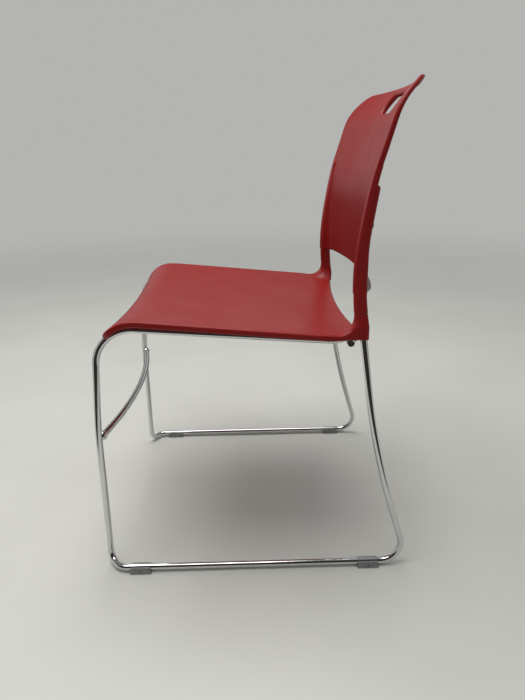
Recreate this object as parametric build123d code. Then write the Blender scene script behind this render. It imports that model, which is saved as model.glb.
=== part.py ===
"""Stacking classroom chair: bent rod sled frame, one-piece plastic seat, one-piece plastic back.

Millimetres. +Z is up, the floor is z = 0 and the sitter faces -Y. +X is the sitter's left.
The origin is on the floor, below the middle of the chair's bounding box.
"""
import math
import os

from build123d import *

# ---- Rod frame ---------------------------------------------------------------------------
rod_d = 11.1                # 7/16 inch steel rod
seat_rail_half = 210.0      # centre plane to the axis of a seat rail
upright_inset = 4.0         # seat rail's axis in to the upright's
foot_splay = 6.3            # seat rail's axis out to the front leg's foot
floor_rail_splay = 33.2     # seat rail's axis out to the floor rail's

foot_y = -267.2             # where the front leg's line meets the floor rail's height
flare_run = 20.7            # the outward flare's length along Y
front_leg_low_lean = 4.1
front_leg_high_lean = 14.9
seat_rail_l = 372.6         # front corner to lowest point, along Y
seat_rail_end_l = 35.0      # lowest point to end, along Y
upright_forward = 5.2       # the upright's bend, ahead of the seat rail's end
upright_lean = 18.7
rear_leg_high_lean = 30.7
rear_leg_mid_lean = 23.0
rear_leg_low_lean = 48.0

front_leg_mid_z = 263.0
rear_leg_high_z = 278.0
rear_leg_low_z = 168.6
seat_rail_front_z = 437.7
seat_rail_drop = 29.7       # front corner down to the lowest point
seat_rail_rise = 9.3        # lowest point up to the end
upright_bend_up = 97.4      # above the seat rail's end
upright_l = 110.3           # the upright's height above its bend
upright_end_room = 2.0      # above the upright's end, inside the sleeve

foot_bend_r = 18.0
flare_bend_r = 26.0
front_leg_bow_r = 900.0
seat_front_bend_r = 60.0
seat_rail_rise_r = 60.0
upright_bend_r = 468.0
rear_leg_bow_r = 1200.0
heel_bend_r = 35.0

# ---- Cross pieces and welds ----------------------------------------------------------------
brace_z = 248.0
brace_bite = 4.8            # the brace's arc ends this far inside the leg's axis
brace_setback = 4.1         # and this far behind it
brace_bow = 23.1
cross_rod_overhang = 2.0    # past the seat rail's axis
cross_rod_setback = 10.5    # ahead of the seat rail's end
weld_size = 8.0             # radius of the blob of weld at a joint
rod_weld_size = 4.0         # and of the one behind the cross rod, under the seat rail
weld_room = 0.4             # kept round frame and welds inside the plastic

# ---- Glides ----------------------------------------------------------------------------------
glide_l = 42.0
glide_w = 20.0
glide_h = 12.0
glide_top_w = 16.0
glide_top_l = 38.0
glide_sole = 3.0            # plastic below the rod
glide_front_setback = 36.2  # behind the flare's corner
glide_rear_setback = 68.8   # ahead of the heel's corner
glide_edge_r = 1.2
glide_fit = 0.05            # radial, between the rod and the clip
pin_d = 2.4
pin_l = 12.5
pin_drop = 3.0              # below the rod's axis
pin_fit = 0.05

# ---- Seat --------------------------------------------------------------------------------------
seat_overhang = 20.6        # past the seat rail's axis
seat_rear_overhang = 11.5
seat_taper_l = 62.7
seat_rear_reach = 11.7      # past the seat rail's end
seat_rear_scoop = 11.0      # the rear edge's middle, ahead of its corners
seat_tip_back = 7.6         # behind the seat rail's front corner
seat_tip_drop = 15.7        # below it
seat_crest_back = 29.0      # where the nose's line meets the seat's line
seat_crest_up = 17.3
seat_end_drop = 1.0         # the seat's line at its rear corners, below the seat rail's end
seat_nose_r = 63.0
seat_dish = 10.0
seat_t = 4.5
seat_rim_depth = 10.0
seat_rim_w = 5.0
seat_front_corner_r = 26.0
seat_taper_r = 70.0
seat_rear_corner_r = 8.0
rear_arc_inset = 18.0       # the rear edge's arc starts this far inside the seat rail's axis

# ---- Joint between seat and back -----------------------------------------------------------
seam_up = 34.0              # above the seat rail's end
seam_gap = 0.3
stub_drop = 8.3             # below the seat rail's end
sleeve_w = 20.0
sleeve_depth = 21.0
sleeve_over = 11.0          # above the upright's end
bore_clearance = 0.25       # radial, between the rod and the plastic
flare_w = 46.0              # the foot of the stub, where it grows out of the seat
flare_l = 50.0
flare_corner_r = 10.0
flare_head_r = 9.5
flare_down = 4.0            # the spreading foot ends this far below the seam

# ---- Back --------------------------------------------------------------------------------------
back_overhang = 9.4         # past the upright's axis
back_low_up = 29.7          # above the seam
back_top_up = 165.0         # above the upright's end
back_corner_r = 50.0
back_curve_r = 850.0        # the panel's hollow, seen from above
back_edge_back = 11.85      # the panel's front beside the upright, behind the upright's bend
back_bend_up = 5.0          # above the upright's end
back_bend_r = 260.0
back_lean = 34.2
back_lean_h = 110.1
back_upper_r = 110.0
back_flare = 45.7
back_flare_h = 59.9
back_t = 4.5
back_rim_w = 9.0
back_rim_depth = 8.5
slot_l = 100.0
slot_h = 28.0
slot_down = 30.0            # below the back's top
slot_rim_w = 6.0
slot_rim_depth = 9.0

# ---- Small parts -------------------------------------------------------------------------------
tab_w = 28.0
tab_l = 40.0
tab_t = 3.0
tab_front_back = 127.3      # behind the seat rail's front corner
tab_rear_forward = 45.3     # ahead of the seat rail's lowest point
tab_corner_r = 6.0
seat_screw_inset = 19.0     # seat rail's axis to the screw's axis
seat_screw_d = 5.0
seat_screw_head_d = 10.0
seat_screw_head_h = 3.0
seat_screw_reach = 6.0      # above the tab
screw_fit = 0.25
boss_d = 16.0
insert_d = 7.6
insert_l = 6.5
insert_spare = 0.5
back_screw_d = 4.0
back_screw_head_d = 8.0
back_screw_head_h = 2.2
back_screw_l = 10.0
back_screw_down = 40.0      # below the upright's end
head_fit = 0.3
bumper_w = 12.0
bumper_h = 24.0
bumper_out = 6.0
bumper_up = 46.7            # above the seam
bumper_stem_d = 5.0
bumper_stem_l = 3.0
bumper_stem_fit = 0.05


def arc_drop(radius, x):
    """How far an arc falls away from its middle at a distance x."""
    return radius - math.sqrt(radius * radius - x * x)


# ---- Places worked out from the sizes above --------------------------------------------------
rod_r = rod_d / 2
rail_z = glide_sole + rod_r
floor_rail_half = seat_rail_half + floor_rail_splay
foot_half = seat_rail_half + foot_splay
upright_half = seat_rail_half - upright_inset

flare_y = foot_y + flare_run
front_leg_mid_y = foot_y + front_leg_low_lean
seat_rail_front_y = front_leg_mid_y + front_leg_high_lean
seat_rail_low_y = seat_rail_front_y + seat_rail_l
seat_rail_end_y = seat_rail_low_y + seat_rail_end_l
upright_bend_y = seat_rail_end_y - upright_forward
upright_top_y = upright_bend_y + upright_lean
rear_leg_high_y = upright_bend_y + rear_leg_high_lean
rear_leg_low_y = rear_leg_high_y + rear_leg_mid_lean
heel_y = rear_leg_low_y + rear_leg_low_lean

seat_rail_low_z = seat_rail_front_z - seat_rail_drop
seat_rail_end_z = seat_rail_low_z + seat_rail_rise
upright_bend_z = seat_rail_end_z + upright_bend_up
upright_top_z = upright_bend_z + upright_l

seat_half = seat_rail_half + seat_overhang
seat_rear_half = seat_rail_half + seat_rear_overhang
rear_inner_half = seat_rail_half - rear_arc_inset
seat_rear_y = seat_rail_end_y + seat_rear_reach
seat_taper_y = seat_rear_y - seat_taper_l
seat_tip_y = seat_rail_front_y + seat_tip_back
seat_tip_z = seat_rail_front_z - seat_tip_drop
seat_crest_y = seat_rail_front_y + seat_crest_back
seat_crest_z = seat_rail_front_z + seat_crest_up
seat_end_z = seat_rail_end_z - seat_end_drop

seam_z = seat_rail_end_z + seam_up
seam_low_z = seam_z - seam_gap
stub_bottom_z = seat_rail_end_z - stub_drop
sleeve_top_z = upright_top_z + sleeve_over
back_half = upright_half + back_overhang
back_low_z = seam_z + back_low_up
back_top_z = upright_top_z + back_top_up
back_front_y = upright_bend_y + back_edge_back + arc_drop(back_curve_r, upright_half)
back_bend_z = upright_top_z + back_bend_up
back_upper_y = back_front_y + back_lean
back_upper_z = back_bend_z + back_lean_h
back_end_y = back_upper_y + back_flare
back_end_z = back_upper_z + back_flare_h
slot_z = back_top_z - slot_down
back_screw_z = upright_top_z - back_screw_down
bumper_z = seam_z + bumper_up

SIDES = {"left": 1, "right": -1}
ENDS = {"front": flare_y + glide_front_setback, "rear": heel_y - glide_rear_setback}
TABS = {"front": seat_rail_front_y + tab_front_back, "rear": seat_rail_low_y - tab_rear_forward}


def mirrored(shape, side):
    """The shape as made for the +X side, or its mirror image for the -X side."""
    return shape if side > 0 else mirror(shape, about=Plane.YZ)


# ---- Frame -------------------------------------------------------------------------------------
def front_leg_half(z):
    """The front leg is straight when seen from the front."""
    share = (z - rail_z) / (seat_rail_front_z - rail_z)
    return foot_half + share * (seat_rail_half - foot_half)


def rear_leg_half(z):
    share = (z - rail_z) / (upright_bend_z - rail_z)
    return floor_rail_half + share * (upright_half - floor_rail_half)


def frame_points():
    """The corners of one side's rod, from the top of the upright to the end of the seat rail."""
    return [
        (upright_half, upright_top_y, upright_top_z),
        (upright_half, upright_bend_y, upright_bend_z),
        (rear_leg_half(rear_leg_high_z), rear_leg_high_y, rear_leg_high_z),
        (rear_leg_half(rear_leg_low_z), rear_leg_low_y, rear_leg_low_z),
        (floor_rail_half, heel_y, rail_z),
        (floor_rail_half, flare_y, rail_z),
        (foot_half, foot_y, rail_z),
        (front_leg_half(front_leg_mid_z), front_leg_mid_y, front_leg_mid_z),
        (seat_rail_half, seat_rail_front_y, seat_rail_front_z),
        (seat_rail_half, seat_rail_low_y, seat_rail_low_z),
        (seat_rail_half, seat_rail_end_y, seat_rail_end_z),
    ]


def frame_path():
    radii = [upright_bend_r, rear_leg_bow_r, rear_leg_bow_r, heel_bend_r, flare_bend_r, foot_bend_r,
             front_leg_bow_r, seat_front_bend_r, seat_rail_rise_r]
    return FilletPolyline(*frame_points(), radius=radii)


def upright_path():
    """The rod's axis from above the sleeve's top to well below the seat."""
    top, bend, low = (Vector(*point) for point in frame_points()[:3])
    above = top + (top - bend).normalized() * sleeve_depth
    return FilletPolyline(above, bend, low, radius=[upright_bend_r])


def round_along(path, radius):
    start = Plane(origin=path @ 0, z_dir=path % 0)
    return sweep(start * Circle(radius), path=path)


def seat_rail_slope():
    return (seat_rail_low_z - seat_rail_front_z) / (seat_rail_low_y - seat_rail_front_y)


def seat_rail_height(y):
    return seat_rail_front_z + seat_rail_slope() * (y - seat_rail_front_y)


def cross_rod_place():
    """The cross rod lies under the rising ends of the seat rails and touches them."""
    rise = math.atan2(seat_rail_end_z - seat_rail_low_z, seat_rail_end_y - seat_rail_low_y)
    y = seat_rail_end_y - cross_rod_setback
    above = seat_rail_end_z - cross_rod_setback * math.tan(rise)
    return y, above - rod_d / math.cos(rise)


def leg_point(z):
    """The rear leg's axis at a height between the seat and its upper bow."""
    bend, low = (Vector(*point) for point in frame_points()[1:3])
    share = (z - bend.Z) / (low.Z - bend.Z)
    return bend + (low - bend) * share


def glide_pin_shapes(side, room):
    """One side's glide pins, driven in from the outer walls, with room round them."""
    x = floor_rail_half + glide_w / 2
    pins = []
    for y in ENDS.values():
        axis = Plane(origin=(x, y, rail_z - pin_drop), z_dir=(-1, 0, 0))
        pins.append(mirrored(axis * upward(pin_d / 2 + room, pin_l), side))
    return pins


def side_frame(side):
    rod = mirrored(round_along(frame_path(), rod_r), side)
    return rod - glide_pin_shapes(side, pin_fit) - [mirrored(back_screw_hole(0), side)]


def brace_end():
    """Inside the front leg, and behind its axis."""
    share = (brace_z - rail_z) / (front_leg_mid_z - rail_z)
    leg_y = foot_y + share * (front_leg_mid_y - foot_y)
    return Vector(front_leg_half(brace_z) - brace_bite, leg_y + brace_setback, brace_z)


def brace_blank():
    end = brace_end()
    path = ThreePointArc((-end.X, end.Y, brace_z), (0, end.Y + brace_bow, brace_z), (end.X, end.Y, brace_z))
    return round_along(path, rod_r)


def cross_rod():
    y, z = cross_rod_place()
    return Pos(0, y, z) * Rot(0, 90, 0) * Cylinder(rod_r, 2 * (seat_rail_half + cross_rod_overhang))


# ---- Welds -------------------------------------------------------------------------------------
def brace_weld_points():
    inner = front_leg_half(brace_z) - rod_r - weld_size / 4
    return [(side * inner, brace_end().Y, brace_z) for side in SIDES.values()]


def rear_weld_points():
    """The seat rail's end, where it meets the rear leg."""
    return [(side * seat_rail_half, seat_rail_end_y + weld_size / 4, seat_rail_end_z)
            for side in SIDES.values()]


def rod_weld_points():
    """The corner between the cross rod's rear and the seat rail above it."""
    y, z = cross_rod_place()
    return [(side * seat_rail_half, y + rod_r, z + rod_r) for side in SIDES.values()]


def welds(points, size, turn, steel):
    """Beads of weld with the steel cut out of them. The turn puts a bead's poles inside the steel."""
    beads = []
    for point in points:
        bead = Pos(*point) * turn * Sphere(size)
        beads.append(bead - steel)
    return beads


# ---- Plastic sheets ---------------------------------------------------------------------------
def curved_sheet(path, hollow_r, centre, half, thickness):
    """A sheet that follows the path and is arched across it, on the path's right-hand side."""
    edge = centre - arc_drop(hollow_r, half)
    front = ThreePointArc((-half, edge), (0, centre), (half, edge))
    rear = ThreePointArc((-half, edge + thickness), (0, centre + thickness), (half, edge + thickness))
    ends = [Line(front @ 0, rear @ 0), Line(front @ 1, rear @ 1)]
    section = make_face([front, rear, *ends])
    start = Plane(origin=path @ 0, x_dir=(1, 0, 0), z_dir=path % 0)
    return sweep(start * section, path=path)


def ring(outline, width):
    return outline - offset(outline, amount=-width, kind=Kind.INTERSECTION)


# ---- Seat --------------------------------------------------------------------------------------
def seat_dish_r():
    return (seat_half ** 2 + seat_dish ** 2) / (2 * seat_dish)


def seat_slope():
    return (seat_end_z - seat_crest_z) / (seat_rear_y - seat_crest_y)


def seat_top(x, y):
    """Height of the seat's top behind its nose."""
    line = seat_crest_z + seat_slope() * (y - seat_crest_y)
    return line - seat_dish + arc_drop(seat_dish_r(), x)


def inside_seat(x, y):
    """A plane halfway through the seat's sheet and parallel to it."""
    tilt = x / math.sqrt(seat_dish_r() ** 2 - x ** 2)
    origin = (x, y, seat_top(x, y) - seat_t / 2)
    return Plane(origin=origin, x_dir=(1, 0, tilt), z_dir=(-tilt, -seat_slope(), 1))


def seat_outline():
    corners = [(seat_half, seat_tip_y - seat_t), (seat_half, seat_taper_y), (seat_rear_half, seat_rear_y),
               (rear_inner_half, seat_rear_y)]
    right = Polyline(*corners)
    left = Polyline(*[(-x, y) for x, y in corners])
    front = Line(left @ 0, right @ 0)
    rear = ThreePointArc(left @ 1, (0, seat_rear_y - seat_rear_scoop), right @ 1)
    face = make_face([right, rear, left, front])
    by_y = {
        seat_tip_y - seat_t: seat_front_corner_r,
        seat_taper_y: seat_taper_r,
    }
    for y, radius in by_y.items():
        face = fillet([v for v in face.vertices() if abs(v.Y - y) < 0.01], radius)
    outer = [v for v in face.vertices() if abs(abs(v.X) - seat_rear_half) < 0.01]
    return fillet(outer, seat_rear_corner_r)


def seat_sheet(thickness):
    path = FilletPolyline((0, seat_tip_y, seat_tip_z), (0, seat_crest_y, seat_crest_z),
                          (0, seat_rear_y, seat_end_z), radius=[seat_nose_r])
    return curved_sheet(path, seat_dish_r(), seat_dish, seat_half + seat_t, thickness)


def upright_section(width, depth):
    path = upright_path()
    start = Plane(origin=path @ 0, x_dir=(1, 0, 0), z_dir=path % 0)
    return sweep(start * Ellipse(width / 2, depth / 2), path=path)


def slab(low, high):
    size = 4 * floor_rail_half
    return Pos(0, 0, (low + high) / 2) * Box(size, size, high - low)


def stub():
    """The seat's corner post, which takes the back's sleeve on its top, and its spreading foot."""
    post = upright_section(sleeve_w, sleeve_depth) & slab(stub_bottom_z, seam_low_z)
    axis = leg_point(seam_low_z)
    outer_x = axis.X + sleeve_w / 2
    rear_y = axis.Y + sleeve_depth / 2
    foot = inside_seat(outer_x - flare_w / 2, rear_y - flare_l / 2)
    foot *= RectangleRounded(flare_w, flare_l, flare_corner_r)
    head = Pos(axis.X, axis.Y, seam_low_z - flare_down)
    head *= RectangleRounded(sleeve_w, sleeve_depth, flare_head_r)
    return post + loft([foot, head], ruled=True)


def boss_height(y):
    """From the tab's top face, which is level with the rail's axis, into the seat's sheet."""
    return seat_top(seat_rail_half - seat_screw_inset, y) - seat_t / 2 - seat_rail_height(y)


def tab_plane(y, side):
    """On the seat rail's axis, with +Z square to the rail and up."""
    origin = (side * seat_rail_half, y, seat_rail_height(y))
    return Plane(origin=origin, x_dir=(1, 0, 0), z_dir=(0, -seat_rail_slope(), 1))


def screw_place(y, side):
    return tab_plane(y, side) * Pos(-side * seat_screw_inset, 0, 0)


def upward(radius, height):
    return Cylinder(radius, height, align=(Align.CENTER, Align.CENTER, Align.MIN))


def downward(radius, height):
    return Cylinder(radius, height, align=(Align.CENTER, Align.CENTER, Align.MAX))


def frame_room():
    """The steel with room round it, which the plastic is cut back from."""
    y, z = cross_rod_place()
    grown = rod_r + weld_room
    reach = seat_rail_half + cross_rod_overhang + weld_room
    room = [Pos(0, y, z) * Rot(0, 90, 0) * Cylinder(grown, 2 * reach)]
    rail = FilletPolyline(*frame_points()[7:], radius=[seat_front_bend_r, seat_rail_rise_r])
    room += [mirrored(round_along(rail, grown), side) for side in SIDES.values()]
    room += [Pos(*point) * Sphere(weld_size + weld_room) for point in rear_weld_points()]
    room += [Pos(*point) * Sphere(rod_weld_size + weld_room) for point in rod_weld_points()]
    bore = round_along(upright_path(), rod_r + bore_clearance)
    room += [mirrored(bore, side) for side in SIDES.values()]
    return room


def seat_shell():
    outline = seat_outline()
    floor_up = seat_top(0, seat_rear_y) - 2 * seat_half
    tall = 4 * seat_half
    plan = Pos(0, 0, floor_up) * extrude(outline, tall)
    rim_plan = Pos(0, 0, floor_up) * extrude(ring(outline, seat_rim_w), tall)
    room = frame_room()
    shell = (seat_sheet(seat_t) & plan) + (seat_sheet(seat_rim_depth) & rim_plan) - room
    post = stub()
    for side in SIDES.values():
        shell += mirrored(post, side)
        for y in TABS.values():
            place = screw_place(y, side)
            shell += place * upward(boss_d / 2, boss_height(y))
            shell -= place * upward(insert_d / 2, insert_l + insert_spare)
    return shell - room


def seat_tab(y, side):
    plate = Pos(-side * tab_w / 2, 0, -tab_t / 2) * Box(tab_w, tab_l, tab_t)
    inner = plate.edges().filter_by(Axis.Z).group_by(Axis.X)[0 if side > 0 else -1]
    plate = fillet(inner, tab_corner_r)
    plate -= Pos(-side * seat_screw_inset, 0, 0) * Cylinder(seat_screw_d / 2 + screw_fit, 3 * tab_t)
    plate -= Rot(90, 0, 0) * Cylinder(rod_r, 2 * tab_l)
    return tab_plane(y, side) * plate


def seat_insert(y, side):
    sleeve = upward(insert_d / 2, insert_l) - upward(seat_screw_d / 2, insert_l)
    return screw_place(y, side) * sleeve


def seat_screw(y, side):
    shank = Pos(0, 0, -tab_t) * upward(seat_screw_d / 2, tab_t + seat_screw_reach)
    head = Pos(0, 0, -tab_t) * downward(seat_screw_head_d / 2, seat_screw_head_h)
    head = fillet(head.edges().group_by(Axis.Z)[0], seat_screw_head_h / 3)
    return screw_place(y, side) * (shank + head)


# ---- Back --------------------------------------------------------------------------------------
def back_path():
    return FilletPolyline((0, back_front_y, back_low_z), (0, back_front_y, back_bend_z),
                          (0, back_upper_y, back_upper_z), (0, back_end_y, back_end_z),
                          radius=[back_bend_r, back_upper_r])


def back_sheet(thickness):
    return curved_sheet(back_path(), back_curve_r, 0, back_half + back_t, thickness)


def through_back(outline):
    """The outline, drawn as seen from the front, run through the back's whole depth."""
    return extrude(Plane.XZ * outline, 3 * back_half, both=True)


def back_outline():
    height = back_top_z - back_low_z
    face = Pos(0, (back_top_z + back_low_z) / 2) * Rectangle(2 * back_half, height)
    return fillet(face.vertices().group_by(Axis.Y)[-1], back_corner_r)


def slot_outline(grow):
    return Pos(0, slot_z) * SlotOverall(slot_l + 2 * grow, slot_h + 2 * grow)


def sleeve():
    return upright_section(sleeve_w, sleeve_depth) & slab(seam_z, sleeve_top_z)


def sleeve_axis(z):
    """The upright's axis and direction at a height inside the sleeve."""
    path = upright_path()
    steps = 400
    share = min((i / steps for i in range(steps + 1)), key=lambda t: abs((path @ t).Z - z))
    return path @ share, path % share


def sleeve_rear(z):
    """A place on the sleeve's rear face, with +Z pointing out of it to the rear."""
    centre, along = sleeve_axis(z)
    out = Vector(0, -along.Z, along.Y).normalized()
    if out.Y < 0:
        out = -out
    return Plane(origin=centre + out * (sleeve_depth / 2), x_dir=(1, 0, 0), z_dir=out)


def back_screw_hole(room):
    """The shank's hole, from below the screw's head into the rod."""
    return sleeve_rear(back_screw_z) * Pos(0, 0, -back_screw_head_h) \
        * downward(back_screw_d / 2 + room, back_screw_l)


def back_screw_recess():
    sunk = Pos(0, 0, -back_screw_head_h) * upward(back_screw_head_d / 2 + head_fit, 2 * sleeve_depth)
    return sleeve_rear(back_screw_z) * sunk


def back_screw():
    """A pan-head screw, flush in its recess, through the sleeve's rear wall into the rod."""
    head = Pos(0, 0, -back_screw_head_h) * upward(back_screw_head_d / 2, back_screw_head_h)
    head = fillet(head.edges().group_by(Axis.Z)[-1], back_screw_head_h / 3)
    return sleeve_rear(back_screw_z) * head + back_screw_hole(0)


def bumper_stem(room):
    """From outside the sleeve's rear into its wall."""
    depth = bumper_stem_l + bumper_out / 2
    return sleeve_rear(bumper_z) * Pos(0, 0, bumper_out / 2) * downward(bumper_stem_d / 2 + room, depth)


def stack_bumper(side):
    """A soft wedge on the sleeve's rear, held by a stem in the sleeve's wall."""
    profile = make_face(Polyline((0, bumper_h / 2), (bumper_out, -bumper_h / 6), (bumper_out, -bumper_h / 3),
                                 (bumper_out / 2, -bumper_h / 2), (0, -bumper_h / 2), close=True))
    pad = extrude(Plane.YZ * profile, bumper_w / 2, both=True)
    pad = Pos(*sleeve_rear(bumper_z).origin) * pad
    pad -= [upright_section(sleeve_w, sleeve_depth), back_sheet(back_t)]
    return mirrored(pad + bumper_stem(0), side)


def back_shell():
    outline = back_outline()
    panel = back_sheet(back_t) & through_back(outline - slot_outline(0))
    rims = back_sheet(back_rim_depth) & through_back(ring(outline, back_rim_w))
    rims &= slab(upright_top_z, 2 * back_top_z)
    lip = back_sheet(slot_rim_depth) & through_back(slot_outline(slot_rim_w) - slot_outline(0))
    shell = panel + rims + lip
    tube = sleeve()
    bore = round_along(upright_path(), rod_r + bore_clearance)
    bore &= slab(seam_z - rod_d, upright_top_z + upright_end_room)
    cuts = [bore, back_screw_hole(screw_fit), back_screw_recess(), bumper_stem(bumper_stem_fit)]
    for side in SIDES.values():
        shell += mirrored(tube, side)
    for side in SIDES.values():
        shell -= [mirrored(cut, side) for cut in cuts]
    return shell


# ---- Glides ------------------------------------------------------------------------------------
def glide(y, side):
    """A clip with an open-topped channel that snaps over the floor rail."""
    base = Rectangle(glide_w, glide_l)
    top = Pos(0, 0, glide_h) * Rectangle(glide_top_w, glide_top_l)
    clip = loft([base, top], ruled=True)
    clip = fillet(clip.edges().filter_by(lambda edge: abs(edge.tangent_at(0.5).Z) > 0.5), glide_edge_r)
    clip -= Pos(0, 0, rail_z) * Rot(90, 0, 0) * Cylinder(rod_r + glide_fit, 2 * glide_l)
    clip = Pos(floor_rail_half, y, 0) * clip
    for hole in glide_pin_shapes(1, 0):
        clip -= hole
    return mirrored(clip, side)


# ---- Write every piece ---------------------------------------------------------------------
def build():
    nodes = {}
    frames = {name: side_frame(side) for name, side in SIDES.items()}
    for name, frame in frames.items():
        nodes[f"side_frame_{name}"] = frame
    brace = brace_blank()
    for frame in frames.values():
        brace -= frame
    brace = max(brace.solids(), key=lambda solid: solid.volume)
    rear_rod = cross_rod()
    steel = [*frames.values(), brace, rear_rod]
    nodes["front_brace"] = brace
    nodes["rear_cross_rod"] = rear_rod
    nodes["brace_welds"] = Compound(welds(brace_weld_points(), weld_size, Rot(0, 90, 0), steel))
    end_beads = welds(rear_weld_points(), weld_size, Rot(90, 0, 0), steel)
    rod_beads = welds(rod_weld_points(), rod_weld_size, Rot(-45, 0, 0), steel)
    nodes["rear_welds"] = Compound(end_beads + rod_beads)
    inserts = []
    screws = []
    for side_name, side in SIDES.items():
        for end_name, y in TABS.items():
            nodes[f"seat_tab_{end_name}_{side_name}"] = seat_tab(y, side)
            inserts.append(seat_insert(y, side))
            screws.append(seat_screw(y, side))
        for end_name, y in ENDS.items():
            nodes[f"glide_{end_name}_{side_name}"] = glide(y, side)
        nodes[f"stack_bumper_{side_name}"] = stack_bumper(side)
    nodes["seat_inserts"] = Compound(inserts)
    nodes["seat_screws"] = Compound(screws)
    nodes["seat_shell"] = seat_shell()
    nodes["back_shell"] = back_shell()
    nodes["back_screws"] = Compound([mirrored(back_screw(), side) for side in SIDES.values()])
    nodes["glide_pins"] = Compound([pin for side in SIDES.values() for pin in glide_pin_shapes(side, 0)])
    return nodes


os.makedirs("parts", exist_ok=True)
for node, shape in build().items():
    export_step(shape, f"parts/{node}.step")
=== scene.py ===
import math

import bpy
import numpy as np
from mathutils import Matrix, Vector

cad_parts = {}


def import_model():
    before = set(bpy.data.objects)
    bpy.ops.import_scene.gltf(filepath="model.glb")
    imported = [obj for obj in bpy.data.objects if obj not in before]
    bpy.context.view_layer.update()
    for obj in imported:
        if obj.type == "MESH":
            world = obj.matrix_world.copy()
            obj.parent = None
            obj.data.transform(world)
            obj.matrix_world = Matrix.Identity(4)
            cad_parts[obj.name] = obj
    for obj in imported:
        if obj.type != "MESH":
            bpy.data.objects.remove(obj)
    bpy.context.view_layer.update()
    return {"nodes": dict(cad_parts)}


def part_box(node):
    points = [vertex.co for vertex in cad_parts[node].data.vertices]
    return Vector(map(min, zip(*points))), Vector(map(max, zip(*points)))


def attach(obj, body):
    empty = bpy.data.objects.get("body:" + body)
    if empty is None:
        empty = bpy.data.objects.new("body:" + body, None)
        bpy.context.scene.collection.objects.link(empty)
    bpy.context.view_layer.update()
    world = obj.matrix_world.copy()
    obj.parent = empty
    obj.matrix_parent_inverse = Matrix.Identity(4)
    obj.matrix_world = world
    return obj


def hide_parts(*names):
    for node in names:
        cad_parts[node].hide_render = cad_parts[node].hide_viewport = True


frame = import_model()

# Metres, +Z up, the sitter faces -Y and +X is the sitter's left.
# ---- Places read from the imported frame. A box is two corners, low and high. -------------------
_, SEAT_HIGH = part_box("seat_shell")
_, BACK_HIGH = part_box("back_shell")
ROD_LOW, ROD_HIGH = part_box("side_frame_left")

ROD_R = 0.00555
SEAM_Z = SEAT_HIGH[2]                       # where the back's sleeves stand on the seat's posts
RAIL_END_Z = SEAM_Z - 0.0337
UPRIGHT_X = ROD_LOW[0] + ROD_R
FLOOR_RAIL_X = ROD_HIGH[0] - ROD_R
FLOOR_RAIL_Z = ROD_LOW[2] + ROD_R

# ---- Seat ------------------------------------------------------------------------------------
SEAT_HALF = SEAT_HIGH[0]
SEAT_REAR_Y = SEAT_HIGH[1] - 0.0074
SEAT_TIP_Y = SEAT_REAR_Y - 0.4117
SEAT_T = 0.0045
SEAT_DISH = 0.010
SEAT_DISH_R = (SEAT_HALF ** 2 + SEAT_DISH ** 2) / (2 * SEAT_DISH)
SEAT_NOSE_R = 0.063
SEAT_RIM_DEPTH = 0.010
SEAT_RIM_W = 0.005
SEAT_EDGE_R = 0.0042
SEAT_FRONT_CORNER_R = 0.026
SEAT_REAR_CORNER_R = 0.008
SEAT_REAR_HALF = SEAT_HALF - 0.0091
SEAT_TAPER_L = 0.0627
SEAT_SCOOP_R = 1.68
SEAT_SCOOP = 0.011
SEAT_RIM_FADE_L = 0.060                     # the rim grows shallow towards the rear corners
POST_FILLET = 0.033
POST_LOW_Z = RAIL_END_Z - 0.0016
POST_REAR_Y = SEAT_REAR_Y + 0.0030
POST_REAR_R = 0.004
POST_SIDE_FILLET = 0.010
POST_FOOT_R = 0.0025
POST_FOOT_FILLET = 0.004
SEAT_TAPER_BEND_R = 0.002
SEAT_RIM_R = 0.0015
SEAT_RIM_FILLET = 0.002
SEAT_UNDER_R = 0.0018
SEAM_R = 0.0010
SEAM_UNDER = 0.0001                         # the seat stops this far below the seam
MOUTH_R = 0.0080                            # the bore's wide mouth at the post's foot
MOUTH_DEEP = 0.020
MOUTH_END_R = 0.001
MOUTH_RIM_R = 0.0006

# ---- Back ------------------------------------------------------------------------------------
BACK_HALF = UPRIGHT_X + 0.0094
BACK_BOTTOM_Z = RAIL_END_Z + 0.0640
BACK_TOP_Z = BACK_HIGH[2]
BACK_FRONT_Y = SEAT_REAR_Y + 0.0203
BACK_T = 0.0045
BACK_HOLLOW_R = 0.85
BACK_RIM_DEPTH = 0.0085
BACK_RIM_W = 0.009
BACK_RIM_LOW_Z = RAIL_END_Z + 0.185
BACK_RIM_THIN_Z = BACK_TOP_Z - 0.100        # above this the rim grows shallower
BACK_CORNER_R = 0.055
BACK_EDGE_R = 0.0025
BACK_ROLL_R = 0.0040                        # the edge is rounder above the sleeves
SLEEVE_A = 0.0098                           # half its width
SLEEVE_B = 0.0105                           # half its depth at the seam
SLEEVE_THIN = 0.018                         # what the half depth loses with height
SLEEVE_CORNER_R = 0.006
SLEEVE_TOP_Z = RAIL_END_Z + 0.2225
SLEEVE_MERGE_Z = RAIL_END_Z + 0.244         # its front runs into the panel's here
SLEEVE_PROUD = 0.017                        # how far its front stands forward of the panel's
SLEEVE_PROUD_RISE = 0.12
SLOT_HALF_L = 0.044
SLOT_HALF_H = 0.015
SLOT_DOWN = 0.0275
SLOT_RIM = 0.006
SLOT_DEPTH = 0.0095
SLOT_EDGE_R = 0.0045
SLOT_LIP_R = 0.002
BACK_TOP_UNDER = 0.0003                     # the panel stops this far below the CAD's top
BACK_BOTTOM_R = 0.002
BACK_RIM_THIN = 0.020                       # what the rim's depth loses with height
BACK_RIM_R = 0.002
BACK_RIM_FILLET = 0.003
BACK_UNDER_R = 0.0018
SLEEVE_FILLET = 0.0012
SLEEVE_FILLET_GAIN = 1.3                    # the fillet grows with how far the sleeve stands out
SLEEVE_UNDER_FILLET = 0.002
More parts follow.
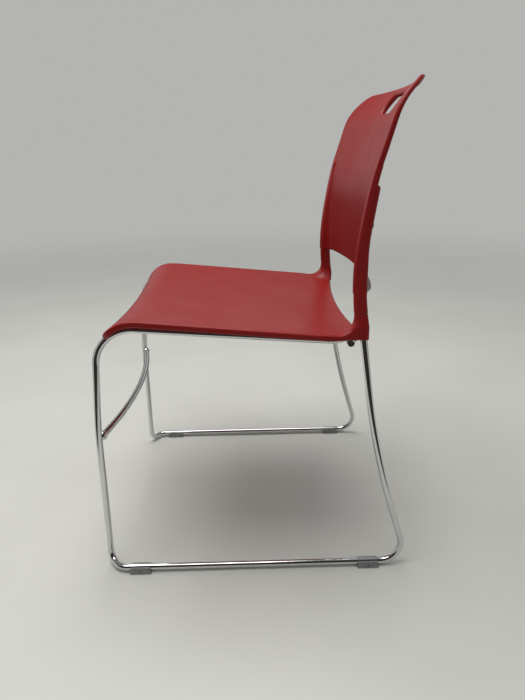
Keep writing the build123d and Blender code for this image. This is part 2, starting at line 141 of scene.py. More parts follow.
SLEEVE_SEAM_UP = 0.0002                     # the sleeve starts this far above the seam
SLEEVE_STEP_R = 0.0045
SLEEVE_MERGE_R = 0.006
SLEEVE_BEHIND_R = 0.001
ROLL_RISE = 0.05                            # the height in which the edge grows round
BACK_BENDS = [(0.0, 0.0), (0.0, 0.149), (0.0342, 0.2591), (0.0799, 0.319)]
BACK_BEND_RADII = [0.260, 0.110]


# ---- Lines and distances ---------------------------------------------------------------------
class Profile:
    """A line of straights and round corners in the YZ plane.

    A place is given by the distance along the line and the distance to its left.
    """

    def __init__(self, corners, radii):
        self.parts = []
        points = [np.array(corner, float) for corner in corners]
        start = points[0]
        along = 0.0
        for corner, after, radius in zip(points[1:-1], points[2:], radii):
            way = (corner - start) / np.linalg.norm(corner - start)
            out = (after - corner) / np.linalg.norm(after - corner)
            turn = math.atan2(way[0] * out[1] - way[1] * out[0], way @ out)
            tangent = radius * math.tan(abs(turn) / 2)
            length = np.linalg.norm(corner - start) - tangent
            self.parts.append(("line", along, along + length, start, way, 0.0, 1.0))
            along += length
            left = np.array([-way[1], way[0]])
            side = math.copysign(1.0, turn)
            centre = corner - tangent * way + side * radius * left
            self.parts.append(("arc", along, along + radius * abs(turn), centre, left, radius, side))
            along += radius * abs(turn)
            start = corner + tangent * out
        way = (points[-1] - start) / np.linalg.norm(points[-1] - start)
        end = along + np.linalg.norm(points[-1] - start)
        self.parts.append(("line", along, end, start, way, 0.0, 1.0))
        self.length = end

    def place(self, s, n):
        """The Y and Z of places given by their distance along the line and to its left."""
        y = np.zeros(np.broadcast(s, n).shape)
        z = np.zeros_like(y)
        s = np.broadcast_to(s, y.shape)
        n = np.broadcast_to(n, y.shape)
        for number, (kind, low, high, origin, way, radius, side) in enumerate(self.parts):
            mask = (s >= low) if number else np.ones(y.shape, bool)
            if kind == "line":
                py = origin[0] + (s - low) * way[0] - n * way[1]
                pz = origin[1] + (s - low) * way[1] + n * way[0]
            else:
                angle = side * (s - low) / radius
                ly = way[0] * np.cos(angle) - way[1] * np.sin(angle)
                lz = way[0] * np.sin(angle) + way[1] * np.cos(angle)
                py = origin[0] + (n - side * radius) * ly
                pz = origin[1] + (n - side * radius) * lz
            y = np.where(mask, py, y)
            z = np.where(mask, pz, z)
        return y, z

    def locate(self, y, z):
        """The distance along the line and to its left of places given by Y and Z."""
        best = np.full(np.shape(y), np.inf)
        s = np.zeros_like(best)
        n = np.zeros_like(best)
        last = len(self.parts) - 1
        for number, (kind, low, high, origin, way, radius, side) in enumerate(self.parts):
            vy, vz = y - origin[0], z - origin[1]
            if kind == "line":
                part = vy * way[0] + vz * way[1]
                off = vz * way[0] - vy * way[1]
            else:
                far = np.hypot(vy, vz)
                ly, lz = -side * vy / far, -side * vz / far
                part = side * np.arctan2(way[0] * lz - way[1] * ly, way[0] * ly + way[1] * lz) * radius
                off = side * (radius - far)
            under = np.where(number > 0, np.maximum(-part, 0.0), 0.0)
            over = np.where(number < last, np.maximum(part - (high - low), 0.0), 0.0)
            score = np.hypot(off, under + over)
            closer = score < best
            best = np.where(closer, score, best)
            s = np.where(closer, low + part, s)
            n = np.where(closer, off, n)
        return s, n


def outer(a, b, radius):
    """What lies inside both distances, with a round outer corner where they meet."""
    u = np.maximum(a + radius, 0.0)
    v = np.maximum(b + radius, 0.0)
    return np.minimum(np.maximum(a, b), -radius) + np.hypot(u, v)


def inner(a, b, radius):
    """What lies inside either distance, with a fillet where they meet."""
    return -outer(-a, -b, radius)


def smooth(share):
    share = np.clip(share, 0.0, 1.0)
    return share * share * (3.0 - 2.0 * share)


def arc_drop(radius, x):
    return radius - np.sqrt(radius * radius - x * x)


def lines(low, high, fine, coarse, zones, reach=0.02):
    """Grid lines from low to high, close together in the zones and wide apart elsewhere."""
    found = [low]
    while found[-1] < high:
        here = found[-1]
        gap = min(max(a - here, here - b, 0.0) for a, b in zones)
        found.append(here + fine + (coarse - fine) * min(gap / reach, 1.0))
    return np.array(found)


def both_ways(half):
    """Grid lines on one side of the centre plane, and their mirror images."""
    return np.concatenate([-half[::-1], half])


# ---- Meshes from distances -------------------------------------------------------------------
def net(axes, distance):
    """One point in each grid cell that the surface passes through, and the quads between them."""
    grid = np.meshgrid(*axes, indexing="ij")
    d = distance(*grid)
    inside = d < 0
    shape = np.array(d.shape) - 1
    total = np.zeros((*shape, 3))
    count = np.zeros(shape)
    crossings = []
    for axis in range(3):
        low = [slice(None)] * 3
        high = [slice(None)] * 3
        low[axis] = slice(0, -1)
        high[axis] = slice(1, None)
        low, high = tuple(low), tuple(high)
        cross = inside[low] != inside[high]
        share = np.where(cross, d[low] / np.where(cross, d[low] - d[high], 1.0), 0.0)
        point = np.stack([g[low] + share * (g[high] - g[low]) for g in grid], -1)
        crossings.append((cross, inside[low]))
        others = [other for other in range(3) if other != axis]
        for da in (0, 1):
            for db in (0, 1):
                part = [slice(None)] * 3
                part[others[0]] = slice(da, da + shape[others[0]])
                part[others[1]] = slice(db, db + shape[others[1]])
                part = tuple(part)
                total += np.where(cross[part][..., None], point[part], 0.0)
                count += cross[part]
    used = count > 0
    index = np.full(shape, -1)
    index[used] = np.arange(used.sum())
    points = total[used] / count[used][:, None]
    quads = []
    for axis in range(3):
        cross, start_inside = crossings[axis]
        a, b = [other for other in range(3) if other != axis]
        where = np.argwhere(cross)
        keep = (where[:, a] > 0) & (where[:, b] > 0)
        keep &= (where[:, a] < d.shape[a] - 1) & (where[:, b] < d.shape[b] - 1)
        where = where[keep]
        flip = start_inside[tuple(where.T)] ^ (axis == 1)
        corners = []
        for da, db in ((1, 1), (0, 1), (0, 0), (1, 0)):
            cell = where.copy()
            cell[:, a] -= da
            cell[:, b] -= db
            corners.append(index[tuple(cell.T)])
        quad = np.stack(corners, 1)
        quads.append(np.where(flip[:, None], quad, quad[:, ::-1]))
    return points, np.concatenate(quads)


def settle(points, distance, rounds=4, step=0.00005, reach=0.002):
    """Moves the points straight onto the surface."""
    for _ in range(rounds):
        value = distance(*points.T)
        slope = np.stack([(distance(*(points + o).T) - distance(*(points - o).T)) / (2 * step)
                          for o in np.eye(3) * step], 1)
        size = np.maximum((slope ** 2).sum(1), 0.2)
        move = slope * (value / size)[:, None]
        far = np.linalg.norm(move, axis=1)
        move *= np.minimum(1.0, reach / np.maximum(far, 1e-9))[:, None]
        points = points - move
    return points


def relax(points, quads, distance, rounds):
    """Evens out the mesh and keeps it on the surface."""
    ends = np.concatenate([quads, np.roll(quads, -1, 1)]).reshape(2, -1)
    ends = np.concatenate([ends, ends[::-1]], 1)
    number = np.bincount(ends[0], minlength=len(points))[:, None]
    for _ in range(rounds):
        total = np.stack([np.bincount(ends[0], points[ends[1], i], len(points)) for i in range(3)], 1)
        points = points + 0.5 * (total / number - points)
        points = settle(points, distance, rounds=2)
    return points


def mesh_object(name, points, faces, soft=True):
    mesh = bpy.data.meshes.new(name)
    mesh.from_pydata([tuple(p) for p in points], [], [tuple(int(i) for i in f) for f in faces])
    mesh.update()
    mesh.polygons.foreach_set("use_smooth", [soft] * len(mesh.polygons))
    made = bpy.data.objects.new(name, mesh)
    bpy.context.scene.collection.objects.link(made)
    return made


def shell_object(name, axes, distance, place):
    points, quads = net(axes, distance)
    points = settle(points, distance)
    points = relax(points, quads, distance, 2)
    return mesh_object(name, np.stack(place(*points.T), 1), quads)


# ---- Upright, which the posts and sleeves follow ---------------------------------------------
UPRIGHT_BEND_Z = RAIL_END_Z + 0.0974
UPRIGHT_BEND_R = 0.468
UPRIGHT_LOW = (SEAT_REAR_Y + 0.0138, 0.278)
UPRIGHT_BEND = (SEAT_REAR_Y - 0.0169, UPRIGHT_BEND_Z)
UPRIGHT_TOP = (SEAT_REAR_Y + 0.0018, ROD_HIGH[2] - 0.0009)
upright = Profile([UPRIGHT_LOW, UPRIGHT_BEND, UPRIGHT_TOP], [UPRIGHT_BEND_R])
SLEEVE_REAR_Y = SEAT_REAR_Y - 0.0017        # at the bumpers
UPRIGHT_SPLAY = (FLOOR_RAIL_X - UPRIGHT_X) / (UPRIGHT_BEND_Z - FLOOR_RAIL_Z)


def upright_distance(x, y, z):
    """Distance to the plastic tube round the upright, and the upright's own middle."""
    _, n = upright.locate(y, z)
    middle = UPRIGHT_X + UPRIGHT_SPLAY * np.maximum(UPRIGHT_BEND_Z - z, 0.0)
    off = np.abs(x) - middle
    depth = SLEEVE_B - SLEEVE_THIN * np.maximum(z - SEAM_Z, 0.0)
    return outer(np.abs(off) - SLEEVE_A, np.abs(n) - depth, SLEEVE_CORNER_R), np.hypot(off, n)


# ---- Seat shell ------------------------------------------------------------------------------
SEAT_CREST_Z = RAIL_END_Z + 0.0380
seat_line = Profile([(SEAT_TIP_Y, RAIL_END_Z + 0.0050), (SEAT_TIP_Y + 0.0214, SEAT_CREST_Z),
                     (SEAT_REAR_Y, RAIL_END_Z - 0.0007)], [SEAT_NOSE_R])


SHELL_GRID = 0.0016                         # between fine grid lines
ACROSS_GRID = 0.007                         # between coarse ones
ALONG_GRID = 0.006
DEEP_GRID = 0.0015
SHELL_LOW_H = -0.02025
SEAT_HIGH_H = 0.0445
SEAT_GRID_FIRST = 0.0035                    # half the gap across the centre plane
SEAT_FINE_X = [(0.190, 0.24)]
SEAT_FINE_S = [(-0.01, 0.03), (seat_line.length - 0.05, 0.6)]


def seat_place(x, s, h):
    y, z = seat_line.place(s, h - SEAT_DISH + arc_drop(SEAT_DISH_R, x))
    return x, y, z


def seat_distance(x, s, h):
    _, y, z = seat_place(x, s, h)
    post, core = upright_distance(x, y, z)
    post = outer(post, y - POST_REAR_Y, POST_REAR_R)
    taper = (SEAT_HALF - SEAT_REAR_HALF) / SEAT_TAPER_L
    taper_s = seat_line.length - SEAT_TAPER_L
    narrow = (np.abs(x) - SEAT_HALF + taper * (s - taper_s)) / math.hypot(1.0, taper)
    side = outer(np.abs(x) - SEAT_HALF, narrow, SEAT_TAPER_BEND_R)
    scoop = SEAT_SCOOP - arc_drop(SEAT_SCOOP_R, np.minimum(np.abs(x), SEAT_HALF))
    rear = s - seat_line.length + np.maximum(scoop, 0.0)
    outline = outer(side, -s, SEAT_FRONT_CORNER_R)
    outline = outer(outline, rear, SEAT_REAR_CORNER_R)
    column = inner(outline, post, POST_SIDE_FILLET)
    body = outer(inner(h, post, POST_FILLET), column, SEAT_EDGE_R)
    fade = smooth((s - seat_line.length + SEAT_RIM_FADE_L) / SEAT_RIM_FADE_L)
    rim_depth = SEAT_RIM_DEPTH - fade * (SEAT_RIM_DEPTH - SEAT_T)
    rim = outer(-(h + rim_depth), -(outline + SEAT_RIM_W), SEAT_RIM_R)
    foot = outer(post, POST_LOW_Z - z, POST_FOOT_R)
    under = inner(inner(-(h + SEAT_T), rim, SEAT_RIM_FILLET), foot, POST_FOOT_FILLET)
    body = outer(body, under, SEAT_UNDER_R)
    body = outer(body, z - SEAM_Z + SEAM_UNDER, SEAM_R)
    mouth = outer(core - MOUTH_R, z - (POST_LOW_Z + MOUTH_DEEP), MOUTH_END_R)
    return outer(body, -mouth, MOUTH_RIM_R)


def seat_shell():
    half = lines(SEAT_GRID_FIRST, SEAT_HALF + 0.004, SHELL_GRID, ACROSS_GRID, SEAT_FINE_X)
    along = lines(-0.004, seat_line.length + 0.014, SHELL_GRID, ALONG_GRID, SEAT_FINE_S)
    deep = np.arange(SHELL_LOW_H, SEAT_HIGH_H, DEEP_GRID)
    return shell_object("seat_skin", [both_ways(half), along, deep], seat_distance, seat_place)


# ---- Back shell ------------------------------------------------------------------------------
back_line = Profile([(BACK_FRONT_Y + y, BACK_BOTTOM_Z + z) for y, z in BACK_BENDS], BACK_BEND_RADII)


BACK_GRID = 0.0015
BACK_HIGH_H = 0.0305
BACK_GRID_FIRST = 0.003
BACK_FINE_X = [(0.034, 0.060), (0.185, 0.24)]
BACK_FINE_S = [(-0.05, 0.006), (0.140, 0.172), (back_line.length - 0.080, 0.5)]


def back_place(x, s, h):
    """The panel is hollow across, so its sides stand forward of its middle."""
    y, z = back_line.place(s, h + arc_drop(BACK_HOLLOW_R, x))
    return x, y, z


def sleeve_distance(x, y, z, h, rim_depth):
    """The sleeve ends in a step behind the panel, and in front it runs into the panel."""
    tube, _ = upright_distance(x, y, z)
    tube = outer(tube, SEAM_Z + SLEEVE_SEAM_UP - z, SEAM_R)
    behind = outer(tube, z - SLEEVE_TOP_Z, SLEEVE_STEP_R)
    ahead = outer(tube, z - SLEEVE_MERGE_Z - SLEEVE_MERGE_R, SLEEVE_MERGE_R)
    return np.minimum(behind, outer(ahead, -(h + rim_depth), SLEEVE_BEHIND_R))


def back_distance(x, s, h):
    _, y, z = back_place(x, s, h)
    _, _, front_z = back_place(x, s, 0.0)
    rim_depth = BACK_RIM_DEPTH - BACK_RIM_THIN * np.maximum(front_z - BACK_RIM_THIN_Z, 0.0)
    tube = sleeve_distance(x, y, z, h, rim_depth)
    outline = outer(np.abs(x) - BACK_HALF, front_z - BACK_TOP_Z + BACK_TOP_UNDER, BACK_CORNER_R)
    sheet = outer(outline, BACK_BOTTOM_Z - front_z, BACK_BOTTOM_R)
    column = inner(sheet, tube, SLEEVE_FILLET)
    proud = np.clip((SLEEVE_MERGE_Z - z) * SLEEVE_PROUD_RISE, 0.0, SLEEVE_PROUD)
    front = inner(h, tube, SLEEVE_FILLET + SLEEVE_FILLET_GAIN * proud)
    roll = smooth((z - SLEEVE_MERGE_Z) / ROLL_RISE)
    body = outer(front, column, BACK_EDGE_R + roll * (BACK_ROLL_R - BACK_EDGE_R))
    slot_z = BACK_TOP_Z - SLOT_DOWN
    slot_x = np.maximum(np.abs(x) - SLOT_HALF_L + SLOT_HALF_H, 0.0)
    slot = np.hypot(slot_x, front_z - slot_z) - SLOT_HALF_H
    rim = outer(-(h + rim_depth), -(outline + BACK_RIM_W), BACK_RIM_R)
    rim = outer(rim, BACK_RIM_LOW_Z - z, BACK_RIM_R)
    lip = outer(-(h + SLOT_DEPTH), slot - SLOT_RIM, SLOT_LIP_R)
    under = inner(inner(-(h + BACK_T), rim, BACK_RIM_FILLET), lip, BACK_RIM_FILLET)
    under = inner(under, tube, SLEEVE_UNDER_FILLET)
    body = outer(body, under, BACK_UNDER_R)
    return outer(body, -slot, SLOT_EDGE_R)


def back_shell():
    half = lines(BACK_GRID_FIRST, BACK_HALF + 0.006, BACK_GRID, ACROSS_GRID, BACK_FINE_X)
    along = lines(-0.033, back_line.length, SHELL_GRID, ALONG_GRID, BACK_FINE_S)
    deep = np.arange(SHELL_LOW_H, BACK_HIGH_H, DEEP_GRID)
    return shell_object("back_skin", [both_ways(half), along, deep], back_distance, back_place)


# ---- Glides and bumpers ----------------------------------------------------------------------
GLIDE_HALF_W = 0.0095
GLIDE_HALF_L = 0.0188
GLIDE_H = 0.0118
GLIDE_DRAFT = 0.14                          # how much its walls lean in
GLIDE_R = 0.0012
GLIDE_SOLE = 0.0022
GLIDE_SOLE_STEP = 0.0005
RIB_PITCH = 0.0042
RIB_DEPTH = 0.0004
RIB_LOW_Z = 0.0030
RIB_HIGH_Z = 0.0105
RIB_END = 0.001                             # the height in which a rib runs out
GLIDE_SOLE_RAMP = 0.0006
GLIDE_FLOOR_GAP = 0.00005
GLIDE_BORE_GAP = 0.0001
GLIDE_BORE_R = 0.0004
GLIDE_GRID = 0.0007
BUMPER_GRID = 0.0008
BUMPER_PEAK = 0.24                          # share of its height where it stands out furthest
BUMPER_POWER = 0.7                          # a smaller power makes its face fuller
BUMPER_SIDE_R = 0.0025
BUMPER_END_R = 0.001
BUMPER_IN = 0.0004                          # it stays this far inside the CAD's pad
BUMPER_END_IN = 0.0003
BUMPER_SUNK = 0.0015                        # its foot's depth in the sleeve
BUMPER_FOOT_R = 0.0002


def glide_distance(x, y, z):
    """A clip about the rail's axis, with ribbed walls and a sole."""
    wide = np.abs(x) - GLIDE_HALF_W + GLIDE_DRAFT * z
    ribbed = smooth((z - RIB_LOW_Z) / RIB_END) * smooth((RIB_HIGH_Z - z) / RIB_END)
    wide = wide + ribbed * RIB_DEPTH * (0.5 + 0.5 * np.cos(2 * math.pi * y / RIB_PITCH))
    wide = wide - GLIDE_SOLE_STEP * smooth((GLIDE_SOLE - z) / GLIDE_SOLE_RAMP)
    long = np.abs(y) - GLIDE_HALF_L + GLIDE_DRAFT * z
    ends = np.maximum(z - GLIDE_H, GLIDE_FLOOR_GAP - z)
    body = outer(outer(wide, long, GLIDE_R), ends, GLIDE_R / 2)
    rod = np.hypot(x, z - FLOOR_RAIL_Z) - ROD_R - GLIDE_BORE_GAP
    return outer(body, -rod, GLIDE_BORE_R)


def glide(node):
    low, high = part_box(node)
    middle = [(low[i] + high[i]) / 2 for i in range(3)]

    def place(x, y, z):
        return x + middle[0], y + middle[1], z

    steps_x = np.arange(-GLIDE_HALF_W - 0.0015, GLIDE_HALF_W + 0.002, GLIDE_GRID)
    steps_y = np.arange(-GLIDE_HALF_L - 0.0015, GLIDE_HALF_L + 0.002, GLIDE_GRID)
    steps_z = np.arange(-0.0008, GLIDE_H + 0.0015, GLIDE_GRID)
    made = shell_object(node + "_clip", [steps_x, steps_y, steps_z], glide_distance, place)
    # Faces below the sole's top take the second material, a dark opaque grey that is painted shade along
    # the line where the glide meets the floor.
    for face in made.data.polygons:
        face.material_index = int(face.center.z < GLIDE_SOLE)
    return made


def bumper(node):
    """A soft wedge, thin at its top, that stands out most near its foot."""
    low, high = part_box(node)
    middle = (low[0] + high[0]) / 2
    tall = high[2] - low[2]
    out = high[1] - SLEEVE_REAR_Y - BUMPER_IN
    half = (high[0] - low[0]) / 2 - BUMPER_IN

    def distance(x, y, z):
        share = np.clip((z - low[2]) / tall, 0.0, 1.0)
        rise = np.where(share < BUMPER_PEAK, share / BUMPER_PEAK, (1 - share) / (1 - BUMPER_PEAK))
        face = y - SLEEVE_REAR_Y - out * np.sin(rise * math.pi / 2) ** BUMPER_POWER
        ends = np.maximum(z - high[2] + BUMPER_END_IN, low[2] + BUMPER_END_IN - z)
        pad = outer(outer(np.abs(x - middle) - half, face, BUMPER_SIDE_R), ends, BUMPER_END_R)
        return outer(pad, SLEEVE_REAR_Y - BUMPER_SUNK - y, BUMPER_FOOT_R)

    axes = [np.arange(a - 0.002, b + 0.003, BUMPER_GRID)
            for a, b in ((low[0], high[0]), (SLEEVE_REAR_Y - 0.003, high[1]), (low[2], high[2]))]
    return shell_object(node + "_pad", axes, distance, lambda x, y, z: (x, y, z))


# ---- Screws that hold the back ---------------------------------------------------------------
SCREW_HEAD_R = 0.0042
SCREW_HEAD_H = 0.0020
SCREW_SOCKET_R = 0.0014                     # the hexagon's inner radius
SCREW_SOCKET_FLOOR = 0.0005
SCREW_DOME = 0.0011                         # how much lower the head is at its rim
SCREW_RIM_R = 0.0004
SCREW_SUNK = 0.0012                         # its depth in the sleeve
SCREW_FINE_R = 0.0001
SCREW_SOCKET_RIM_R = 0.0002
SCREW_GRID = 0.00035
SCREW_GRID_LOW = -0.0020
SCREW_GRID_SPARE = 0.001


def screw_distance(u, v, h):
    """A domed head with a hexagon socket. h is the height above the sleeve."""
    far = np.hypot(u, v)
    dome = h - SCREW_HEAD_H + SCREW_DOME * (far / SCREW_HEAD_R) ** 2
    head = outer(outer(far - SCREW_HEAD_R, dome, SCREW_RIM_R), -SCREW_SUNK - h, SCREW_FINE_R)
    turned = [u * math.cos(a) + v * math.sin(a) for a in (0.0, math.pi / 3, 2 * math.pi / 3)]
    hexagon = np.maximum.reduce([np.abs(t) for t in turned]) - SCREW_SOCKET_R
    socket = outer(hexagon, SCREW_SOCKET_FLOOR - h, SCREW_FINE_R)
    return outer(head, -socket, SCREW_SOCKET_RIM_R)


def back_screw(side):
    """One screw, on the sleeve's rear, at the height of the CAD's screws."""
    low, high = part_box("back_screws")
    z = (low[2] + high[2]) / 2
    y = (low[1] + high[1]) / 2
    s = float(upright.locate(np.array(y), np.array(z))[0])
    depth = SLEEVE_B - SLEEVE_THIN * (z - SEAM_Z)

    def place(u, v, h):
        py, pz = upright.place(s + v, -(depth + h))
        return side * (UPRIGHT_X + u), py, pz

    across = np.arange(-SCREW_HEAD_R - SCREW_GRID_SPARE, SCREW_HEAD_R + 0.0011, SCREW_GRID)
    up = np.arange(SCREW_GRID_LOW, SCREW_HEAD_H + 0.0011, SCREW_GRID)
    name = "back_screw_left" if side > 0 else "back_screw_right"
    return shell_object(name, [across, across, up], screw_distance, place)


# ---- Materials -------------------------------------------------------------------------------
class Surface:
    """A node material with a Principled shader whose colour, roughness and bump come from noise."""

    def __init__(self, name, **sockets):
        self.material = bpy.data.materials.new(name)
        self.material.use_nodes = True
        self.tree = self.material.node_tree
        self.shader = self.tree.nodes["Principled BSDF"]
        for socket, value in sockets.items():
            self.shader.inputs[socket.replace("_", " ")].default_value = value
        self.place = self.tree.nodes.new("ShaderNodeTexCoord").outputs["Object"]

    def add(self, kind, **settings):
        node = self.tree.nodes.new(kind)
        for key, value in settings.items():
            if key in node.inputs:
                node.inputs[key].default_value = value
            else:
                setattr(node, key, value)
        return node

    def link(self, start, end):
        self.tree.links.new(start, end)

    def noise(self, scale, detail=3.0, stretch=None):
        node = self.add("ShaderNodeTexNoise", Scale=scale, Detail=detail)
        if stretch is None:
            self.link(self.place, node.inputs["Vector"])
        else:
            mapping = self.add("ShaderNodeMapping", Scale=stretch)
            self.link(self.place, mapping.inputs["Vector"])
            self.link(mapping.outputs["Vector"], node.inputs["Vector"])
        return node.outputs["Fac"]

    def ramp(self, source, low, high):
        """Stretches a noise between two values."""
        node = self.add("ShaderNodeMapRange")
        node.inputs["From Min"].default_value = 0.3
        node.inputs["From Max"].default_value = 0.7
        node.inputs["To Min"].default_value = low
        node.inputs["To Max"].default_value = high
        self.link(source, node.inputs["Value"])
        return node.outputs["Result"]

    def colours(self, source, dark, light):
        node = self.add("ShaderNodeMix", data_type="RGBA")
        a, b = [socket for socket in node.inputs if socket.type == "RGBA"]
        a.default_value = (*dark, 1.0)
        b.default_value = (*light, 1.0)
        self.link(self.ramp(source, 0.0, 1.0), node.inputs[0])
        mixed = [socket for socket in node.outputs if socket.type == "RGBA"][0]
        self.link(mixed, self.shader.inputs["Base Color"])

    def roughness(self, source, low, high):
        self.link(self.ramp(source, low, high), self.shader.inputs["Roughness"])

    def bump(self, source, height, strength=1.0):
        node = self.add("ShaderNodeBump", Strength=strength, Distance=height)
        self.link(source, node.inputs["Height"])
        self.link(node.outputs["Normal"], self.shader.inputs["Normal"])


def red_plastic():
    """Semi-matt moulded plastic with a fine grain and faint rubbed patches."""
    surface = Surface("red_plastic", Specular_IOR_Level=0.30)
    surface.colours(surface.noise(6.0, 2.0), (0.245, 0.0075, 0.0070), (0.262, 0.0085, 0.0080))
    surface.roughness(surface.noise(18.0, 5.0), 0.36, 0.44)
    surface.bump(surface.noise(1700.0, 2.0), 0.00004, 0.22)
    return surface.material


def chrome():
    surface = Surface("chrome", Metallic=1.0)
    surface.colours(surface.noise(30.0), (0.66, 0.66, 0.665), (0.72, 0.72, 0.725))
    surface.roughness(surface.noise(160.0, 4.0), 0.06, 0.13)
    surface.bump(surface.noise(500.0, 2.0), 0.00001, 0.25)
    return surface.material


def steel(name, dark, light, rough):
    surface = Surface(name, Metallic=1.0)
    surface.colours(surface.noise(400.0), dark, light)
    surface.roughness(surface.noise(900.0, 3.0), rough, rough + 0.12)
    surface.bump(surface.noise(1500.0, 2.0), 0.00002, 0.4)
    return surface.material


def soft_grey(name, dark, light, rough, clear):
    surface = Surface(name, Transmission_Weight=clear, IOR=1.5)
    surface.colours(surface.noise(160.0), dark, light)
    surface.roughness(surface.noise(500.0, 3.0), rough, rough + 0.15)
    surface.bump(surface.noise(1200.0, 2.0), 0.00004, 0.4)
    return surface.material


def paint(thing, material):
    thing.data.materials.clear()
    thing.data.materials.append(material)


# ---- Room, light and camera ------------------------------------------------------------------
ROOM_COLOUR = (0.455, 0.458, 0.442)
DARK_COLOUR = (0.032, 0.027, 0.026)         # the unlit part of the room, which only reflections show
SEEN_RAYS = ("Is Camera Ray", "Is Glossy Ray", "Is Transmission Ray")
# Each sky is a list of heights and colours. Its two ends come first.
SHOWN_SKY = [(0.0, ROOM_COLOUR), (1.0, (0.30, 0.30, 0.30)), (0.28, ROOM_COLOUR), (0.50, (0.10, 0.10, 0.10))]
LIT_SKY = [(0.0, (0.10, 0.10, 0.10)), (1.0, (0.75, 0.76, 0.78)), (0.35, (0.22, 0.22, 0.22))]
UNLIT_SIDE = (0.15, 0.55)                   # how far towards +X the unlit side begins and is full
FLOOR_HALF = 14.0
FLOOR_FADE = (1.0, 4.5)                     # where the floor begins to fade, and where it has faded
DARK_GROUND = (0.68, 0.92)                  # where the dark ground begins, and where it is full
DARK_SECTORS = (-0.75, -0.35)               # on the cosine of twice the angle from +X
FLOOR_DARK = (0.57, 0.57, 0.52)
FLOOR_LIGHT = (0.61, 0.61, 0.56)


def math_node(tree, operation, first, second=None):
    """A math node's result from one or two values, each of them a socket or a number."""
    node = tree.nodes.new("ShaderNodeMath")
    node.operation = operation
    for socket, value in zip(node.inputs, (first, second)):
        if isinstance(value, float):
            socket.default_value = value
        elif value is not None:
            tree.links.new(value, socket)
    return node.outputs[0]


def smooth_step(tree, source, low, high):
    """Nought below low, one above high, and smooth between them."""
    node = tree.nodes.new("ShaderNodeMapRange")
    node.interpolation_type = "SMOOTHSTEP"
    node.inputs["From Min"].default_value = low
    node.inputs["From Max"].default_value = high
    tree.links.new(source, node.inputs["Value"])
    return node.outputs["Result"]


def any_of(tree, *rays):
    """One where a ray is of any of these kinds."""
    path = tree.nodes.new("ShaderNodeLightPath")
    total = path.outputs[rays[0]]
    for ray in rays[1:]:
        total = math_node(tree, "MAXIMUM", total, path.outputs[ray])
    return total


def colour_ramp(tree, source, stops):
    node = tree.nodes.new("ShaderNodeValToRGB")
    band = node.color_ramp
    band.interpolation = "EASE"
    for number, (place, colour) in enumerate(stops):
        stop = band.elements[number] if number < 2 else band.elements.new(place)
        stop.position = place
        stop.color = (*colour, 1.0)
    tree.links.new(source, node.inputs["Fac"])
    return node.outputs["Color"]


def glow(tree, kind, colour):
    """A shader of this kind in one colour, which is three numbers or a socket."""
    node = tree.nodes.new(kind)
    if isinstance(colour, tuple):
        node.inputs["Color"].default_value = (*colour, 1.0)
    else:
        tree.links.new(colour, node.inputs["Color"])
    return node.outputs[0]


def mix_shaders(tree, share, first, second):
    node = tree.nodes.new("ShaderNodeMixShader")
    tree.links.new(share, node.inputs["Fac"])
    tree.links.new(first, node.inputs[1])
    tree.links.new(second, node.inputs[2])
    return node.outputs[0]


def world():
    """A pale room, lit from above. Reflections show a darker ceiling and an unlit side at +X."""
    made = bpy.data.worlds.new("world")
    bpy.context.scene.world = made
    made.use_nodes = True
    tree = made.node_tree
    tree.nodes.clear()
    way = tree.nodes.new("ShaderNodeTexCoord")
    split = tree.nodes.new("ShaderNodeSeparateXYZ")
    tree.links.new(way.outputs["Generated"], split.inputs[0])
    unlit = smooth_step(tree, split.outputs["X"], *UNLIT_SIDE)
    darker = tree.nodes.new("ShaderNodeMixRGB")
    tree.links.new(math_node(tree, "MULTIPLY", unlit, any_of(tree, "Is Glossy Ray")), darker.inputs["Fac"])
    tree.links.new(colour_ramp(tree, split.outputs["Z"], SHOWN_SKY), darker.inputs["Color1"])
    darker.inputs["Color2"].default_value = (*DARK_COLOUR, 1.0)
    shown = glow(tree, "ShaderNodeBackground", darker.outputs["Color"])
    lit = glow(tree, "ShaderNodeBackground", colour_ramp(tree, split.outputs["Z"], LIT_SKY))
    out = tree.nodes.new("ShaderNodeOutputWorld")
    tree.links.new(mix_shaders(tree, any_of(tree, *SEEN_RAYS), lit, shown), out.inputs["Surface"])


def floor():
    """A pale floor that runs into the room's colour. Reflections show dark ground further out."""
    corners = [(-FLOOR_HALF, -FLOOR_HALF, 0), (FLOOR_HALF, -FLOOR_HALF, 0),
               (FLOOR_HALF, FLOOR_HALF, 0), (-FLOOR_HALF, FLOOR_HALF, 0)]
    made = mesh_object("floor", corners, [(0, 1, 2, 3)], soft=False)
    surface = Surface("floor", Roughness=0.5)
    surface.colours(surface.noise(3.0), FLOOR_DARK, FLOOR_LIGHT)
    tree = surface.tree
    length = surface.add("ShaderNodeVectorMath", operation="LENGTH")
    surface.link(surface.place, length.inputs[0])
    far = length.outputs["Value"]
    faded = math_node(tree, "MULTIPLY", smooth_step(tree, far, *FLOOR_FADE), any_of(tree, *SEEN_RAYS))
    room = glow(tree, "ShaderNodeEmission", ROOM_COLOUR)
    pale = mix_shaders(tree, faded, surface.shader.outputs[0], room)
    split = surface.add("ShaderNodeSeparateXYZ")
    surface.link(surface.place, split.inputs[0])
    angle = math_node(tree, "ARCTAN2", split.outputs["Y"], split.outputs["X"])
    wave = math_node(tree, "COSINE", math_node(tree, "MULTIPLY", angle, 2.0))
    sectors = smooth_step(tree, wave, *DARK_SECTORS)
    ground = math_node(tree, "MULTIPLY", sectors, smooth_step(tree, far, *DARK_GROUND))
    reflected = math_node(tree, "MULTIPLY", ground, any_of(tree, "Is Glossy Ray"))
    final = mix_shaders(tree, reflected, pale, glow(tree, "ShaderNodeEmission", DARK_COLOUR))
    surface.link(final, tree.nodes["Material Output"].inputs["Surface"])
    paint(made, surface.material)


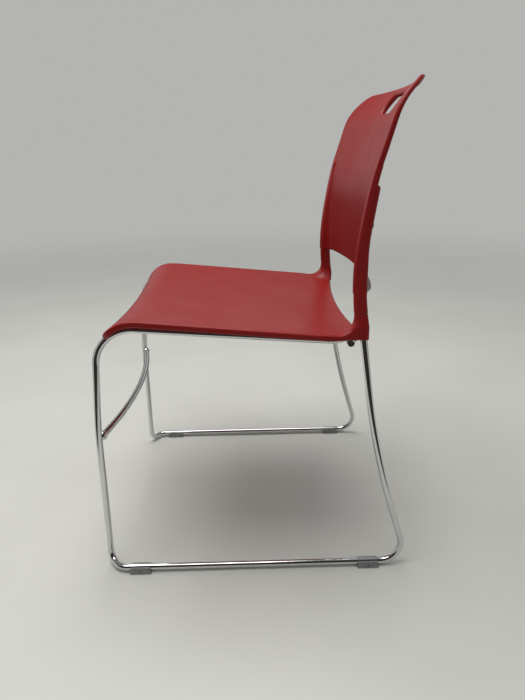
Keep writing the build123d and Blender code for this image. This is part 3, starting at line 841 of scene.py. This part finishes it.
def area_light(name, place, aim, size, power):
    data = bpy.data.lights.new(name, "AREA")
    data.shape = "RECTANGLE"
    data.size, data.size_y = size
    data.energy = power
    lamp = bpy.data.objects.new(name, data)
    lamp.location = place
    lamp.rotation_euler = (Vector(aim) - Vector(place)).to_track_quat("-Z", "Y").to_euler()
    bpy.context.scene.collection.objects.link(lamp)


def camera():
    """At the photograph's place, on the sitter's left and looking down by about 20 degrees."""
    pitch = 0.3488566
    yaw = 0.0155378
    roll = -0.0172719
    ahead = Vector((-math.cos(yaw) * math.cos(pitch), math.sin(yaw) * math.cos(pitch), -math.sin(pitch)))
    right = Vector((math.sin(yaw), math.cos(yaw), 0.0))
    up = right.cross(ahead)
    turned = math.cos(roll) * right + math.sin(roll) * up
    upward = -math.sin(roll) * right + math.cos(roll) * up
    data = bpy.data.cameras.new("camera")
    data.lens = 28.29
    data.sensor_width = 36.0
    made = bpy.data.objects.new("camera", data)
    place = Matrix((turned, upward, -ahead)).transposed().to_4x4()
    place.translation = Vector((1.0230, -0.0031, 0.6907))
    made.matrix_world = place
    bpy.context.scene.collection.objects.link(made)
    bpy.context.scene.camera = made


# ---- Put it together -------------------------------------------------------------------------
bpy.context.scene.view_settings.view_transform = "Standard"
world()
floor()
camera()
area_light("ceiling", (-0.1, -0.35, 2.3), (0.0, 0.0, 0.3), (2.0, 1.4), 40.0)
area_light("fill", (-1.5, -1.7, 1.5), (0.0, 0.0, 0.5), (1.4, 1.4), 3.5)

red = red_plastic()
bright = chrome()
seat = seat_shell()
back = back_shell()
for skin, node in ((seat, "seat_shell"), (back, "back_shell")):
    paint(skin, red)
    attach(skin, "root")
    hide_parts(node)

clip_grey = soft_grey("glide_grey", (0.25, 0.25, 0.25), (0.36, 0.36, 0.355), 0.30, 0.35)
# A dark opaque grey for the glides' lowest part: painted shade where they meet the floor.
painted_floor_shade_grey = soft_grey("painted_floor_shade_grey", (0.085, 0.085, 0.07), (0.12, 0.12, 0.10), 0.45, 0.0)
# The bumpers are a smoky translucent grey; the pink in this colour is painted red light from the red
# plastic they sit on.
pad_colour_and_painted_red_light = soft_grey("pad_grey_and_painted_red_light", (0.46, 0.34, 0.33), (0.55, 0.43, 0.42), 0.30, 0.35)
for name in [name for name in frame["nodes"] if name.startswith(("glide_front", "glide_rear"))]:
    clip = glide(name)
    paint(clip, clip_grey)
    clip.data.materials.append(painted_floor_shade_grey)
    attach(clip, "root")
    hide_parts(name)
for name in [name for name in frame["nodes"] if name.startswith("stack_bumper")]:
    pad = bumper(name)
    paint(pad, pad_colour_and_painted_red_light)
    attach(pad, "root")
    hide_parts(name)

zinc = steel("zinc", (0.50, 0.50, 0.51), (0.62, 0.62, 0.63), 0.25)
for side in (-1, 1):
    screw = back_screw(side)
    paint(screw, zinc)
    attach(screw, "root")
    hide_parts("back_screws")

finishes = {
    "seat_inserts": steel("brass", (0.55, 0.40, 0.16), (0.66, 0.50, 0.22), 0.25),
    "screws": zinc,
    "pins": steel("dark_steel", (0.10, 0.10, 0.11), (0.16, 0.16, 0.17), 0.35),
    "glide_front": clip_grey,
    "glide_rear": clip_grey,
    "stack_bumper": pad_colour_and_painted_red_light,
}
for name, node in frame["nodes"].items():
    words = [word for word in finishes if word in name]
    paint(node, finishes[words[0]] if words else bright)
